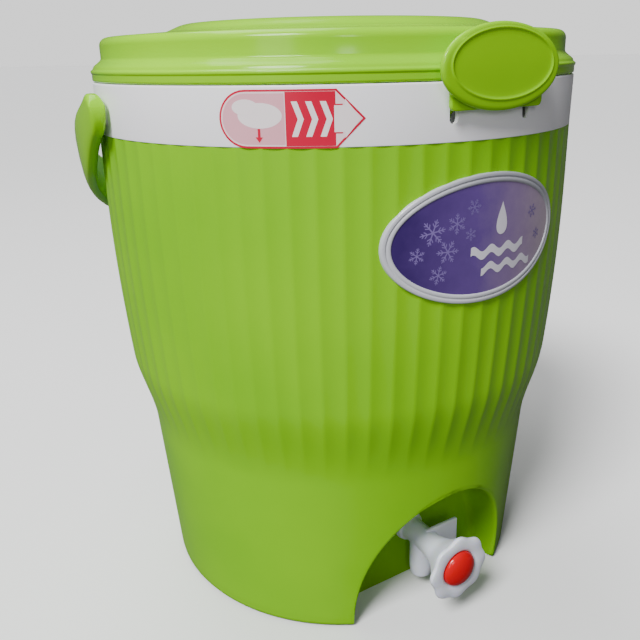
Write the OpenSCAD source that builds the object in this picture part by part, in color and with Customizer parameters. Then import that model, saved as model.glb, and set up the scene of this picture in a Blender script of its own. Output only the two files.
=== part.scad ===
// Insulated water jug with a hinged lid, a front latch, a bail handle and a push-button tap.
// Millimetres. The base stands on z = 0, the jug's axis is Z and the tap points along -Y.

/* [Body] */
// Outer radius of the body at its rim
rim_r = 138.6; // [137.5:0.1:139.5]
// Height of the green shell
shell_h = 281.4; // [279:0.2:284]
// Outer radius at the base
base_r = 115.8; // [112:0.2:118]
// Outer radius where the shoulder begins
waist_r = 123.5; // [121:0.1:125]
// Height where the shoulder begins
waist_z = 100.8; // [94:0.2:102]
// Height where the shoulder ends
shoulder_z = 149; // [140:1:152]
// Wall thickness of the shell
shell_wall = 3; // [2.4:0.2:3.2]
// Insulation thickness between shell and liner
foam_gap = 11; // [10:0.5:12]
// Wall thickness of the liner
liner_wall = 2.5; // [2:0.1:3]

/* [Tap alcove] */
// Half the alcove's width
alcove_w = 54; // [50:1:58]
// Rise of the arch above its springing line
alcove_rise = 70.4; // [64:0.4:74]
// Distance of the alcove's back wall from the jug's axis
alcove_back = 80; // [79:0.5:81]

/* [Band] */
// Top of the white band
band_top = 307.7; // [307:0.1:308]
// Outer radius of the band at its top
band_r = 138.9; // [138.6:0.1:139.5]
// Radius of the mouth inside the band
mouth_r = 123; // [122.8:0.1:123.6]

/* [Lid] */
// Underside of the lid's flange
lid_z = 308; // [307.9:0.1:308.2]
// Height of the lid's flange
flange_h = 6; // [5.5:0.1:6]
// Height of the lower tier
tier_z = 330.6; // [329:0.2:331]
// Height of the raised centre
crown_z = 337.8; // [335:0.2:340]
// Lid wall thickness
lid_wall = 2.5; // [2:0.1:2.8]

/* [Latch] */
// Half-width of the oval plate
plate_a = 35; // [32:0.2:35.4]
// Half-height of the oval plate
plate_b = 18.9; // [17:0.1:19.2]
// Height of the oval plate's centre
plate_z = 313.3; // [312:0.1:315]
// Distance of each latch slot from the centre line
slot_x = 21.8; // [21:0.2:23]
// Width of a latch slot
slot_w = 4.6; // [4:0.1:4.8]

/* [Handle] */
// Height of the handle's pivots
pivot_z = 292; // [291.6:0.1:293]
// Width of the handle's strap
strap_w = 34; // [26:0.5:35]
// Thickness of the handle's strap at its ends
strap_t = 8; // [6:0.5:8.5]
// Inner half-span of the handle at its pivots
span_x = 140.6; // [140.2:0.1:142]
// Reach of the handle's inside from its pivots
reach = 167; // [165:0.5:170]
// How far the handle hangs below the level, in degrees
droop = 27; // [24:1:30]

/* [Tap] */
// Height of the tap's axis
tap_z = 36; // [34:0.2:38]
// Radius of the bonnet's grip flange
bonnet_r = 19.6; // [18:0.2:20]
// Radius of the red button
button_r = 11; // [10:0.1:11.2]
// Radius of the spout's outside
spout_r = 7.3; // [7:0.1:8]

/* [Hidden] */

lime = [0.62, 0.83, 0.11];
white = [0.93, 0.93, 0.96];
tap_white = [0.90, 0.92, 0.96];
silicone = [0.82, 0.84, 0.86];
foam = [0.95, 0.90, 0.70];
steel = [0.70, 0.71, 0.73];
big = 400;                     // longer than the jug, for cutting through it
round_fn = 96;                 // true curves on everything turned
small_fn = 40;

// ---- body profile ----
bow_r = 4.7;                   // the upper wall pulls in this much down to the shoulder
bow_z = 253.6;                 // the upper wall is straight above this height
corner_r = 4;                  // rounding of the base edge
base_floor = shell_wall;
liner_inset = shell_wall + foam_gap;
cavity_inset = liner_inset + liner_wall;

function smooth(t) = let (u = min(1, max(0, t))) u * u * (3 - 2 * u);
function lower_r(z) = base_r + (waist_r - base_r) * z / waist_z;
function upper_r(z) = rim_r - bow_r * pow(max(0, bow_z - z) / (bow_z - shoulder_z), 2);
function shoulder(z) = smooth((z - waist_z) / (shoulder_z - waist_z));
function body_r(z) = lower_r(z) * (1 - shoulder(z)) + upper_r(z) * shoulder(z);
wall_levels = concat(
    [50],
    [for (i = [0:7]) waist_z + i * (shoulder_z - waist_z) / 7],
    [for (i = [1:4]) shoulder_z + i * (bow_z - shoulder_z) / 4]);
function levels(z0, z1) =
    concat([z0], [for (z = wall_levels) if (z > z0 + 1 && z < z1 - 1) z], [z1]);

// Solid of revolution that follows the body wall, set in by inset
module body_solid(inset, z0, z1) {
    rotate_extrude($fn = round_fn)
        polygon(concat([[0, z0]], [for (z = levels(z0, z1)) [body_r(z) - inset, z]], [[0, z1]]));
}

// The same with the rounded base edge
module outer_solid() {
    edge = [for (a = [-90:30:0])
        [lower_r(corner_r) - corner_r * (1 - cos(a)), corner_r * (1 + sin(a))]];
    rotate_extrude($fn = round_fn)
        polygon(concat([[0, 0]], edge,
            [for (z = levels(corner_r + 2, shell_h)) [body_r(z), z]], [[0, shell_h]]));
}

// Thin skin on the body wall, for labels
module body_skin(thick, z0, z1) {
    rotate_extrude($fn = round_fn)
        polygon(concat([for (z = levels(z0, z1)) [body_r(z), z]],
            [for (i = [len(levels(z0, z1)) - 1:-1:0])
                let (z = levels(z0, z1)[i]) [body_r(z) + thick, z]]));
}

function oval(a, b, n = 48) = [for (i = [0:n - 1]) [a * cos(i * 360 / n), b * sin(i * 360 / n)]];

// Extrudes an outline in the XZ plane towards the front, from y = -y0 to y = -y1
module to_front(y0, y1) {
    translate([0, -y0, 0]) rotate([90, 0, 0]) linear_extrude(y1 - y0) children();
}

// ---- tap alcove ----
arch_z = 10;                   // springing line of the arch
module alcove(grow) {
    outline = concat([[-(alcove_w + grow), -20]],
        [for (a = [180:-7.5:0])
            [(alcove_w + grow) * cos(a), arch_z + (alcove_rise + grow) * sin(a)]],
        [[alcove_w + grow, -20]]);
    to_front(alcove_back - grow, big / 2) polygon(outline);
}

// Puts a shape on the tap's axis, with its local Z pointing outwards, measured from the jug's axis
module on_tap_axis() {
    translate([0, 0, tap_z]) rotate([90, 0, 0]) children();
}
// Ring on the tap's axis between u0 and u1
module tap_ring(r_in, r_out, u0, u1, fn = small_fn) {
    on_tap_axis() difference() {
        translate([0, 0, u0]) cylinder(r = r_out, h = u1 - u0, $fn = fn);
        translate([0, 0, u0 - 1]) cylinder(r = r_in, h = u1 - u0 + 2, $fn = small_fn);
    }
}
shank_r = 7.4;
wall_hole_r = shank_r + 0.3;
module tap_hole() {
    on_tap_axis() translate([0, 0, 40]) cylinder(r = wall_hole_r, h = 50, $fn = small_fn);
}

// ---- body pieces ----
module outer_shell() {
    color(lime) difference() {
        outer_solid();
        alcove(0);
        difference() {
            body_solid(shell_wall, base_floor, shell_h + 5);
            alcove(shell_wall);
        }
        tap_hole();
    }
}

foam_top = shell_h - 6.4;
module body_foam() {
    color(foam) difference() {
        body_solid(shell_wall, base_floor, foam_top);
        alcove(shell_wall);
        difference() {
            body_solid(liner_inset, liner_inset, foam_top + 5);
            alcove(liner_inset);
        }
        tap_hole();
    }
}

land_t = 3.5;                  // thickness of the band's top land
liner_top = band_top - land_t;
liner_flange_r = 131.6;
liner_flange_t = 3;
module inner_liner() {
    color(white) difference() {
        union() {
            difference() {
                body_solid(liner_inset, liner_inset, liner_top);
                alcove(liner_inset);
            }
            translate([0, 0, liner_top - liner_flange_t])
                cylinder(r = liner_flange_r, h = liner_flange_t, $fn = round_fn);
        }
        difference() {
            body_solid(cavity_inset, cavity_inset, liner_top + 5);
            alcove(cavity_inset);
        }
        tap_hole();
    }
}

// ---- latch pivot, shared by the band and the latch ----
latch_y = 129.5;                 // distance of the latch's axis in front of the jug's axis
latch_z = 293;
latch_pin_r = 1.4;
latch_pin_x = 27.2;            // half-length of the latch's pin
arm_t = slot_w - 0.6;
slot_z = 289.4;                // lowest point of a slot
bracket_y = band_r + 0.5;      // inner face of the bracket
slot_top = 303;                // where the slots end inside the band
boss_w = 3.6;
boss_h = 8;

// ---- lid hinge, shared by the band and the lid ----
hinge_y = band_r + 6.1;
hinge_z = 311;
knuckle_r = 4.2;
knuckle_mid = 13.8;            // half-length of the lid's knuckle
knuckle_end = 26;              // outer end of the band's knuckles
knuckle_gap = 0.3;             // between the lid's knuckle and the band's
web_z = 295;                   // foot of the webs that carry the band's knuckles
hinge_pin_r = 2;
pin_cap_t = 1.4;

handle_pin_r = 5;
pin_head_r = 6.6;              // the handle pins' heads, inside the band
pin_head_x = 132.6;
pin_head_t = 2;

module along_x(x0, x1, r, y, z) {
    translate([x0, y, z]) rotate([0, 90, 0]) cylinder(r = r, h = x1 - x0, $fn = small_fn);
}

module latch_bosses() {
    intersection() {
        union() for (s = [-1, 1], x = [slot_x - slot_w / 2 - boss_w, slot_x + slot_w / 2])
            translate([s > 0 ? x : -x - boss_w, -latch_y - 6.5, latch_z - boss_h / 2])
                cube([boss_w, 10, boss_h]);
        cylinder(r = rim_r - 0.6, h = big, $fn = round_fn);
    }
}

module latch_slots() {
    for (s = [-1, 1]) translate([s * slot_x, 0, 0]) to_front(latch_y + 1.6, latch_y + 20) {
        translate([0, slot_z + slot_w / 2]) circle(d = slot_w, $fn = small_fn);
        translate([-slot_w / 2, slot_z + slot_w / 2]) square([slot_w, slot_top - slot_z]);
    }
}

module band_knuckles() {
    web_top = band_top - 0.3;
    web = [[band_r - 3, web_z], [band_r + 0.6, web_z], [hinge_y + 3.9, hinge_z - 1.6],
        [hinge_y, hinge_z], [hinge_y - 3.5, hinge_z - 2], [band_r + 0.8, web_top],
        [band_r - 3, web_top]];
    width = knuckle_end - knuckle_mid - knuckle_gap;
    for (x0 = [-knuckle_end, knuckle_mid + knuckle_gap]) {
        along_x(x0, x0 + width, knuckle_r, hinge_y, hinge_z);
        translate([x0, 0, 0]) rotate([90, 0, 90]) linear_extrude(width) polygon(web);
    }
}

tongue_gap = 0.2;              // between the band's tongue and the shell's inside
tongue_t = 2.6;
tongue_h = 6;                  // how far the tongue reaches down inside the shell
band_wall = 3.4;
module top_band() {
    tongue_out = rim_r - shell_wall - tongue_gap;
    tongue_in = tongue_out - tongue_t;
    ring = [[rim_r, shell_h], [band_r, band_top], [mouth_r, band_top], [mouth_r, liner_top],
        [band_r - band_wall, liner_top], [rim_r - 2.7, shell_h + 4.6], [tongue_in, shell_h + 2.6],
        [tongue_in, shell_h - tongue_h], [tongue_out, shell_h - tongue_h], [tongue_out, shell_h]];
    color(white) difference() {
        union() {
            rotate_extrude($fn = round_fn) polygon(ring);
            latch_bosses();
            band_knuckles();
        }
        latch_slots();
        along_x(-latch_pin_x - 0.8, latch_pin_x + 0.8, latch_pin_r + 0.05, -latch_y, latch_z);
        along_x(-30, 30, hinge_pin_r + 0.02, hinge_y, hinge_z);
        along_x(-big / 2, big / 2, handle_pin_r + 0.05, 0, pivot_z);
    }
}

// ---- label and sticker ----
label_z = 234.5;
label_a = 55;
label_b = 31.8;
frame_w = 4.8;
frame_t = 1.2;
film_t = 0.5;
print_u0 = 60;                 // prints are cut from thin skins between these two distances
print_u1 = 160;
skin_h = label_b + 8.2;        // half-height of the skin that the label is cut from

module label_frame() {
    color([0.78, 0.79, 0.82]) intersection() {
        body_skin(frame_t, label_z - skin_h, label_z + skin_h);
        translate([0, 0, label_z]) to_front(print_u0, print_u1) difference() {
            polygon(oval(label_a, label_b));
            polygon(oval(label_a - frame_w, label_b - frame_w));
        }
    }
}

module label_film() {
    color([0.42, 0.30, 0.62]) intersection() {
        body_skin(film_t, label_z - skin_h, label_z + skin_h);
        translate([0, 0, label_z]) to_front(print_u0, print_u1)
            polygon(oval(label_a - frame_w - 0.05, label_b - frame_w - 0.05));
    }
}

sticker_turn = -39.3;            // the sticker's centre, round from the front
sticker_z = 293.6;
sticker_h = 12.4;              // half-height
sticker_a = -32.3;             // left end
sticker_b = 20.1;              // where the arrow's head starts to narrow
sticker_tip = 32.3;
sticker_t = 0.25;

module pull_sticker() {
    outline = concat(
        [for (a = [90:15:270]) [sticker_a + sticker_h + sticker_h * cos(a), sticker_h * sin(a)]],
        [[sticker_b, -sticker_h], [sticker_tip, 0], [sticker_b, sticker_h]]);
    z0 = shell_h + 0.1;
    z1 = band_top - 0.1;
    lean = (band_r - rim_r) / (band_top - shell_h);
    r0 = rim_r + lean * (z0 - shell_h);
    r1 = rim_r + lean * (z1 - shell_h);
    color([0.86, 0.13, 0.27]) intersection() {
        rotate_extrude($fn = round_fn)
            polygon([[r0, z0], [r0 + sticker_t, z0], [r1 + sticker_t, z1], [r1, z1]]);
        rotate([0, 0, sticker_turn]) translate([0, 0, sticker_z]) to_front(print_u0, print_u1)
            polygon(outline);
    }
}

// ---- handle ----
bow_power = 2 / 2.3;           // fuller than an ellipse
eye_r = 11;
back_t = 5.5;                  // thickness of the strap at the back
widen = 45;                    // the strap reaches its full width this far behind the pivots
socket_x = span_x + 6.8;       // bottom of the sockets for the pivot pins
function bail(a, b, n = 40) = [for (i = [0:n])
    let (t = i * 180 / n)
        [a * sign(cos(t)) * pow(abs(cos(t)), bow_power), b * pow(sin(t), bow_power)]];

// Outline of the strap seen from the side, a little slimmer than the eye where they meet
root_h = eye_r - 0.6;
function strap_half(i) = root_h + (strap_w / 2 - root_h) * smooth(i / 5);
strap_side = concat([[-2, root_h]], [for (i = [0:5]) [widen * i / 5, strap_half(i)]],
    [[big, strap_w / 2], [big, -strap_w / 2]],
    [for (i = [5:-1:0]) [widen * i / 5, -strap_half(i)]], [[-2, -root_h]]);

module handle() {
    color(lime) difference() {
        union() {
            translate([0, 0, pivot_z]) rotate([-droop, 0, 0]) intersection() {
                translate([0, 0, -strap_w / 2 - 1]) linear_extrude(strap_w + 2) difference() {
                    polygon(bail(span_x + strap_t, reach + back_t));
                    polygon(concat([[span_x, -1]], bail(span_x, reach), [[-span_x, -1]]));
                }
                translate([-big / 2, 0, 0]) rotate([90, 0, 90]) linear_extrude(big)
                    polygon(strap_side);
            }
            for (s = [-1, 1]) along_x(s > 0 ? span_x - 1 : -span_x - strap_t - 0.5,
                s > 0 ? span_x + strap_t + 0.5 : -span_x + 1, eye_r, 0, pivot_z);
        }
        along_x(-socket_x, socket_x, handle_pin_r + 0.08, 0, pivot_z);
    }
}

module handle_pivot_pins() {
    color(white) for (s = [0, 180]) rotate([0, 0, s]) {
        along_x(pin_head_x, socket_x - 0.3, handle_pin_r, 0, pivot_z);
        along_x(pin_head_x, pin_head_x + pin_head_t, pin_head_r, 0, pivot_z);
    }
}

// ---- lid ----
flange_r = band_r;
lid_wall_r = 133.3;
flare_h = 6;                   // height over which the flange draws in to the wall
slope_r = 101.6;
crown_r = 85;
lid_corner = 4.4;
tier_rise = 1.9;               // the lower tier climbs this much towards the crown
crown_drop = 0.5;              // the crown falls this much from its middle to its edge
flange_z = lid_z + flange_h;

// Radius and height along the lid's outside, set in by t
function flare_pts(t) = [for (i = [0:5])
    [flange_r - 0.6 - t - (flange_r - 0.6 - lid_wall_r) * smooth(i / 5),
        flange_z + 0.4 + (flare_h - 0.4) * i / 5]];
function lid_corner_pts(t) = [for (a = [0:22.5:90])
    [lid_wall_r - lid_corner + (lid_corner - t) * cos(a),
        tier_z - lid_corner + (lid_corner - t) * sin(a)]];
function crown_slope(t) = [for (i = [0:6])
    [slope_r + (crown_r - slope_r) * i / 6,
        tier_z + tier_rise + (crown_z - crown_drop - tier_z - tier_rise) * smooth(i / 6) - t]];
function lid_top(t) = concat(lid_corner_pts(t), crown_slope(t),
    [for (f = [0.7, 0.4, 0]) [crown_r * f, crown_z - crown_drop * f * f - t]]);

catch_x = 19;                  // half-width of the pocket that the latch hooks into
catch_y = 134;
catch_z = flange_z + 5.8;

module lid_outer() {
    rotate_extrude($fn = round_fn) polygon(concat(
        [[0, lid_z], [flange_r - 0.8, lid_z], [flange_r, lid_z + 0.8], [flange_r, flange_z - 0.6]],
        flare_pts(0), lid_top(0)));
}

module lid_inner(t, z0) {
    rotate_extrude($fn = round_fn) polygon(concat(
        [[0, z0], [flange_r - t, z0], [flange_r - t, flange_z - 0.6]],
        [for (p = flare_pts(t)) if (p[1] > flange_z + 1) p],
        lid_top(t)));
}

module catch_block(grow) {
    translate([-catch_x - 2.5 - grow, -catch_y - 8, flange_z - 2.5 - grow])
        cube([2 * (catch_x + 2.5 + grow), 10.5 + grow, catch_z - flange_z + 5 + 2 * grow]);
}

module lid_shell() {
    color(lime) difference() {
        union() {
            difference() {
                lid_outer();
                lid_inner(lid_wall, lid_z - 1);
            }
            intersection() {
                catch_block(0);
                lid_outer();
            }
            along_x(-knuckle_mid, knuckle_mid, knuckle_r, hinge_y, hinge_z);
            translate([-knuckle_mid, flange_r - 1.8, lid_z + 0.4])
                cube([2 * knuckle_mid, hinge_y - flange_r + 1.8, flange_h - 0.4]);
        }
        translate([-catch_x, -catch_y - 10, flange_z])
            cube([2 * catch_x, 10, catch_z - flange_z]);
        along_x(-30, 30, hinge_pin_r + 0.06, hinge_y, hinge_z);
    }
}

plug_r = 119.3;
plug_z = 297;
pan_t = 2.3;
rim_z = lid_z + 0.4;
groove_z = 299.5;
groove_h = 4;
groove_in = 0.8;               // depth of the gasket's groove
seal_r = rim_r - cavity_inset - 0.4;   // the gasket's lip, just clear of the liner's bore
lip_t = 1.4;                   // thickness of the lip's edge

module lid_foam() {
    color(foam) difference() {
        union() {
            lid_inner(lid_wall, rim_z + pan_t);
            translate([0, 0, plug_z + pan_t])
                cylinder(r = plug_r - pan_t, h = 14, $fn = round_fn);
        }
        catch_block(0);
    }
}

module lid_liner() {
    rim_r_in = flange_r - lid_wall - 0.1;
    pan = [[0, plug_z], [plug_r - 1.5, plug_z], [plug_r, plug_z + 1.5], [plug_r, groove_z],
        [plug_r - groove_in, groove_z], [plug_r - groove_in, groove_z + groove_h],
        [plug_r, groove_z + groove_h], [plug_r, rim_z], [rim_r_in, rim_z],
        [rim_r_in, rim_z + pan_t], [plug_r - pan_t, rim_z + pan_t],
        [plug_r - pan_t, plug_z + pan_t], [0, plug_z + pan_t]];
    color(white) difference() {
        rotate_extrude($fn = round_fn) polygon(pan);
        catch_block(0.1);
    }
}

module lid_gasket() {
    color(silicone) rotate_extrude($fn = round_fn) polygon([
        [plug_r - groove_in, groove_z], [plug_r + 0.6, groove_z],
        [seal_r, groove_z + (groove_h - lip_t) / 2], [seal_r, groove_z + (groove_h + lip_t) / 2],
        [plug_r + 0.6, groove_z + groove_h], [plug_r - groove_in, groove_z + groove_h]]);
}

module lid_hinge_pin() {
    color(steel) {
        along_x(-knuckle_end - 1, knuckle_end + 1, hinge_pin_r, hinge_y, hinge_z);
        for (x = [-knuckle_end - pin_cap_t, knuckle_end])
            along_x(x, x + pin_cap_t, hinge_pin_r + 1, hinge_y, hinge_z);
    }
}

// ---- latch ----
bracket_w = 27.4;
bracket_t = 2.3;
bracket_z = 295.3;
bracket_top = 319;
bracket_corner = 3;
plate_y = bracket_y + bracket_t;
plate_t = 2.8;
plate_rim = 0.8;               // depth of the step round the plate's edge
ridge_h = 0.5;
ridge_out = 4.4;               // the ridge's outer and inner edge, in from the plate's edge
ridge_in = 5.5;
ridge_lift = 1.2;              // the ridge is this much taller and higher than the plate's oval
hook_w = 36;
hook_t = 2.6;
hook_y = catch_y + 0.6;
hook_z = flange_z + 1.8;
root = 1;                      // how far arms and hook run into the bracket
eye_out_r = 3;
arm_h = 3.6;
arm_top = 301.6;               // where the arms meet the bracket

module latch_bracket() {
    rise = arm_top - latch_z;
    run = bracket_y + root - latch_y;
    color(lime) difference() {
        union() {
            to_front(bracket_y, plate_y) {
                translate([-bracket_w + bracket_corner, bracket_z])
                    square([2 * (bracket_w - bracket_corner), bracket_top - bracket_z]);
                translate([-bracket_w, bracket_z + bracket_corner])
                    square([2 * bracket_w, bracket_top - bracket_z - 2 * bracket_corner]);
                for (x = [-1, 1], z = [bracket_z + bracket_corner, bracket_top - bracket_corner])
                    translate([x * (bracket_w - bracket_corner), z])
                        circle(r = bracket_corner, $fn = small_fn);
            }
            translate([-hook_w / 2, -bracket_y - root, hook_z])
                cube([hook_w, bracket_y + root - hook_y, hook_t]);
            for (s = [-1, 1]) translate([s * slot_x - arm_t / 2, 0, 0]) {
                translate([0, -latch_y, latch_z]) rotate([atan2(run, rise), 0, 0])
                    translate([0, -arm_h / 2, 0]) cube([arm_t, arm_h, norm([rise, run])]);
                along_x(0, arm_t, eye_out_r, -latch_y, latch_z);
            }
        }
        along_x(-30, 30, latch_pin_r + 0.06, -latch_y, latch_z);
    }
}

module latch_plate() {
    color(lime) translate([0, 0, plate_z]) {
        to_front(plate_y, plate_y + plate_t - plate_rim) polygon(oval(plate_a, plate_b, 60));
        to_front(plate_y + plate_t - plate_rim, plate_y + plate_t)
            polygon(oval(plate_a - 0.9, plate_b - 0.9, 60));
        translate([0, 0, ridge_lift]) to_front(plate_y + plate_t, plate_y + plate_t + ridge_h)
            difference() {
                polygon(oval(plate_a - ridge_out, plate_b - ridge_out + ridge_lift, 60));
                polygon(oval(plate_a - ridge_in, plate_b - ridge_in + ridge_lift, 60));
            }
    }
}

module latch_pin() {
    color(steel) along_x(-latch_pin_x, latch_pin_x, latch_pin_r, -latch_y, latch_z);
}

// ---- tap: u is the distance from the jug's axis, outwards ----
gasket_t = 1.5;
flange_u = alcove_back + gasket_t;
flange_t = 2;
tap_flange_r = 9.2;
shank_u = 52;                  // inner end of the shank
seat_u = alcove_back;
seat_r = 3.6;
seat_t = 2;                    // thickness of the wall that the valve closes on
spout_u = 94.5;
spout_z = 10.4;                // tip of the spout
spout_lip = 3;                 // height of the taper at the spout's tip
neck_r = 7.2;
bore_r = 5.2;
spout_bore = 4.8;
guide_u = 102.2;
guide_t = 5;
spring_room = 5.6;
bonnet_u = 127;
face_u = 130;
stem_r = 2;
stem_u = 76;
hub_u = bonnet_u - 3.2;        // inner end of the button's hub, where the spring ends
bead = 0.8;                    // the button's retaining bead
wing_x = [-1, 23];              // flat wing beside the neck
wing_z = [22, 44];
wing_u = 98.4;
wing_t = 2.6;

module tap_body() {
    outside = [[shank_r, shank_u], [shank_r, flange_u], [tap_flange_r, flange_u],
        [tap_flange_r, flange_u + flange_t], [neck_r, flange_u + flange_t + 1], [neck_r, 106],
        [8.6, 112], [11, 117], [13.4, 120.4], [bonnet_r - 3, bonnet_u - 2.6],
        [bonnet_r - 1.2, bonnet_u]];
    color(tap_white) difference() {
        union() {
            on_tap_axis() rotate_extrude($fn = small_fn)
                polygon(concat([[0, shank_u]], outside, [[0, bonnet_u]]));
            translate([0, -spout_u, spout_z]) cylinder(r1 = spout_r - 0.8, r2 = spout_r,
                h = spout_lip, $fn = small_fn);
            translate([0, -spout_u, spout_z + spout_lip]) cylinder(r = spout_r,
                h = tap_z - spout_z - spout_lip, $fn = small_fn);
            translate([wing_x[0], -wing_u - wing_t, wing_z[0]])
                cube([wing_x[1] - wing_x[0], wing_t, wing_z[1] - wing_z[0]]);
        }
        on_tap_axis() {
            translate([0, 0, shank_u - 1]) cylinder(r = bore_r, h = seat_u - shank_u + 1,
                $fn = small_fn);
            translate([0, 0, seat_u - 1]) cylinder(r = seat_r, h = seat_t + 2, $fn = small_fn);
            translate([0, 0, seat_u + seat_t]) cylinder(r = bore_r, h = guide_u - seat_u - seat_t,
                $fn = small_fn);
            translate([0, 0, guide_u - 1]) cylinder(r = stem_r + 0.06, h = guide_t + 3, $fn = small_fn);
            translate([0, 0, guide_u + guide_t]) cylinder(r = spring_room, h = 20,
                $fn = small_fn);
            translate([0, 0, bonnet_u - 6]) cylinder(r = button_r + bead + 0.3, h = 10,
                $fn = small_fn);
        }
        translate([0, -spout_u, spout_z - 1]) cylinder(r = spout_bore,
            h = tap_z - spout_z + 1, $fn = small_fn);
    }
}

bonnet_lobes = 8;
bonnet_wave = 0.8;             // half the depth of the grip's hollows
module tap_bonnet() {
    color(tap_white) difference() {
        on_tap_axis() translate([0, 0, bonnet_u]) linear_extrude(face_u - bonnet_u)
            polygon([for (i = [0:95]) let (a = i * 360 / 96)
                (bonnet_r + bonnet_wave * cos(a * bonnet_lobes)) * [cos(a), sin(a)]]);
        on_tap_axis() translate([0, 0, bonnet_u - 1])
            cylinder(r = button_r + 0.3, h = 6, $fn = small_fn);
    }
}

dome = 4.6;                    // how far the button's dome stands out of the bonnet
module tap_button() {
    dome_r = (button_r * button_r + dome * dome) / (2 * dome);
    skirt_r = button_r - 1.8;
    cap = [for (i = [0:6]) let (r = button_r * (1 - i / 6))
        [r, face_u - 0.4 + sqrt(dome_r * dome_r - r * r) - dome_r + dome]];
    color([0.80, 0.05, 0.08]) on_tap_axis() difference() {
        rotate_extrude($fn = small_fn) polygon(concat(
            [[stem_r, hub_u], [4.6, hub_u], [4.6, face_u - 0.6], [skirt_r, face_u - 0.6],
                [skirt_r, bonnet_u - 1.6], [button_r + bead, bonnet_u - 1.6],
                [button_r + bead, bonnet_u - 0.3], [button_r, bonnet_u - 0.3]],
            cap, [[0, face_u], [stem_r, face_u]]));
    }
}

plug_t = 1.9;                  // the stem's end, behind the valve seal
module tap_stem() {
    color(tap_white) on_tap_axis() {
        translate([0, 0, stem_u]) cylinder(r = stem_r, h = face_u - stem_u, $fn = small_fn);
        translate([0, 0, stem_u]) cylinder(r = 3.4, h = plug_t, $fn = small_fn);
    }
}

module tap_valve_seal() {
    color([0.15, 0.15, 0.16]) tap_ring(stem_r, 4.6, stem_u + plug_t, seat_u - 0.1);
}

// Compression spring round the stem, swept along a helix
spring_r = 3.9;
spring_wire = 0.45;
spring_turns = 7;
module tap_spring() {
    u0 = guide_u + guide_t + spring_wire;
    u1 = hub_u - spring_wire;
    steps = 14 * spring_turns;
    sides = 6;
    pts = [for (i = [0:steps], j = [0:sides - 1])
        let (a = 360 * spring_turns * i / steps, b = 360 * j / sides,
            r = spring_r + spring_wire * cos(b))
            [r * cos(a), r * sin(a), u0 + (u1 - u0) * i / steps + spring_wire * sin(b)]];
    side = [for (i = [0:steps - 1], j = [0:sides - 1])
        let (k = (j + 1) % sides)
            [i * sides + j, (i + 1) * sides + j, (i + 1) * sides + k, i * sides + k]];
    color(steel) on_tap_axis() polyhedron(pts, concat(side,
        [[for (j = [0:sides - 1]) j], [for (j = [sides - 1:-1:0]) steps * sides + j]]));
}

module tap_outer_gasket() {
    color(silicone) tap_ring(shank_r + 0.3, 9.6, alcove_back, flange_u);
}

nut_u = alcove_back - cavity_inset - gasket_t;
nut_t = 7;
nut_r = 13.8;
module tap_inner_gasket() {
    color(silicone) tap_ring(shank_r + 0.3, 12.4, nut_u, nut_u + gasket_t);
}

module tap_lock_nut() {
    color(tap_white) tap_ring(shank_r + 0.05, nut_r, nut_u - nut_t, nut_u, 6);
}

outer_shell();
body_foam();
inner_liner();
top_band();
label_frame();
label_film();
pull_sticker();
handle();
handle_pivot_pins();
lid_shell();
lid_foam();
lid_liner();
lid_gasket();
lid_hinge_pin();
latch_bracket();
latch_plate();
latch_pin();
tap_body();
tap_bonnet();
tap_button();
tap_stem();
tap_valve_seal();
tap_spring();
tap_outer_gasket();
tap_inner_gasket();
tap_lock_nut();
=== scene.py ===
import math

import bmesh
import bpy
from mathutils import Matrix, Vector


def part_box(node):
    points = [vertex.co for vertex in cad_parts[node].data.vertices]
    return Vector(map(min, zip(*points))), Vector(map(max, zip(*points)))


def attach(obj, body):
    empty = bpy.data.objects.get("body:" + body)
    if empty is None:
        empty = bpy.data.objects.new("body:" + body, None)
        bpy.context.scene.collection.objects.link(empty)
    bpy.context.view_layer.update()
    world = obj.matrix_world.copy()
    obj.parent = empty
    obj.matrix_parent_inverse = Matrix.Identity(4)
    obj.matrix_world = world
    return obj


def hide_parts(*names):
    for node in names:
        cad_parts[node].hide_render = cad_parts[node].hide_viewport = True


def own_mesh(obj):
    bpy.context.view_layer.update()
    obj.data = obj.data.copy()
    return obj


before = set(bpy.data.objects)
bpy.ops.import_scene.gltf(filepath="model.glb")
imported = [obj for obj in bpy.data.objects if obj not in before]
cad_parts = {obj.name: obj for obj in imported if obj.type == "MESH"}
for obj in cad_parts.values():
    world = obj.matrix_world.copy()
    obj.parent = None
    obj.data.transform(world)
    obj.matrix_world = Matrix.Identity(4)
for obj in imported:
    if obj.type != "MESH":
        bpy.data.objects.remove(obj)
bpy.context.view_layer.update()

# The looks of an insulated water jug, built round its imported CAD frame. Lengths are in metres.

MM = 0.001
CORNER_STEPS = 4                   # steps round a softened corner

# ------------------------------------------------------------------ sizes from the frame
shell_lo, shell_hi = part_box("outer_shell")
band_lo, band_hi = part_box("top_band")
lid_lo, lid_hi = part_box("lid_shell")
plate_lo, plate_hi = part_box("latch_plate")
bracket_lo, bracket_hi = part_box("latch_bracket")
handle_lo, handle_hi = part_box("handle")
label_lo, label_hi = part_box("label_frame")
bonnet_lo, bonnet_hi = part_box("tap_bonnet")
button_lo, button_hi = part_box("tap_button")

RIM_R = shell_hi.x
SHELL_H = shell_hi.z
# the body's profile; these and the sizes below repeat the CAD's own values
BASE_R = 115.8 * MM
WAIST_R = 123.5 * MM
WAIST_Z = 100.8 * MM
SHOULDER_Z = 149 * MM
BOW_R = 4.7 * MM                   # how far the wall draws in from the rim to the shoulder
BOW_Z = 253.6 * MM
WALL = 3 * MM
CORNER = 4 * MM                    # radius of the base's edge

BAND_TOP = 307.7 * MM
BAND_R = 138.9 * MM
MOUTH_R = 123 * MM
TAP_Z = (bonnet_lo.z + bonnet_hi.z) / 2
HINGE_Y = BAND_R + 6.1 * MM
HINGE_Z = 311 * MM
PIVOT_Z = 292 * MM
LATCH_Y = 129.5 * MM               # the latch's axis, in front of the jug's axis
LATCH_Z = 293 * MM


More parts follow.
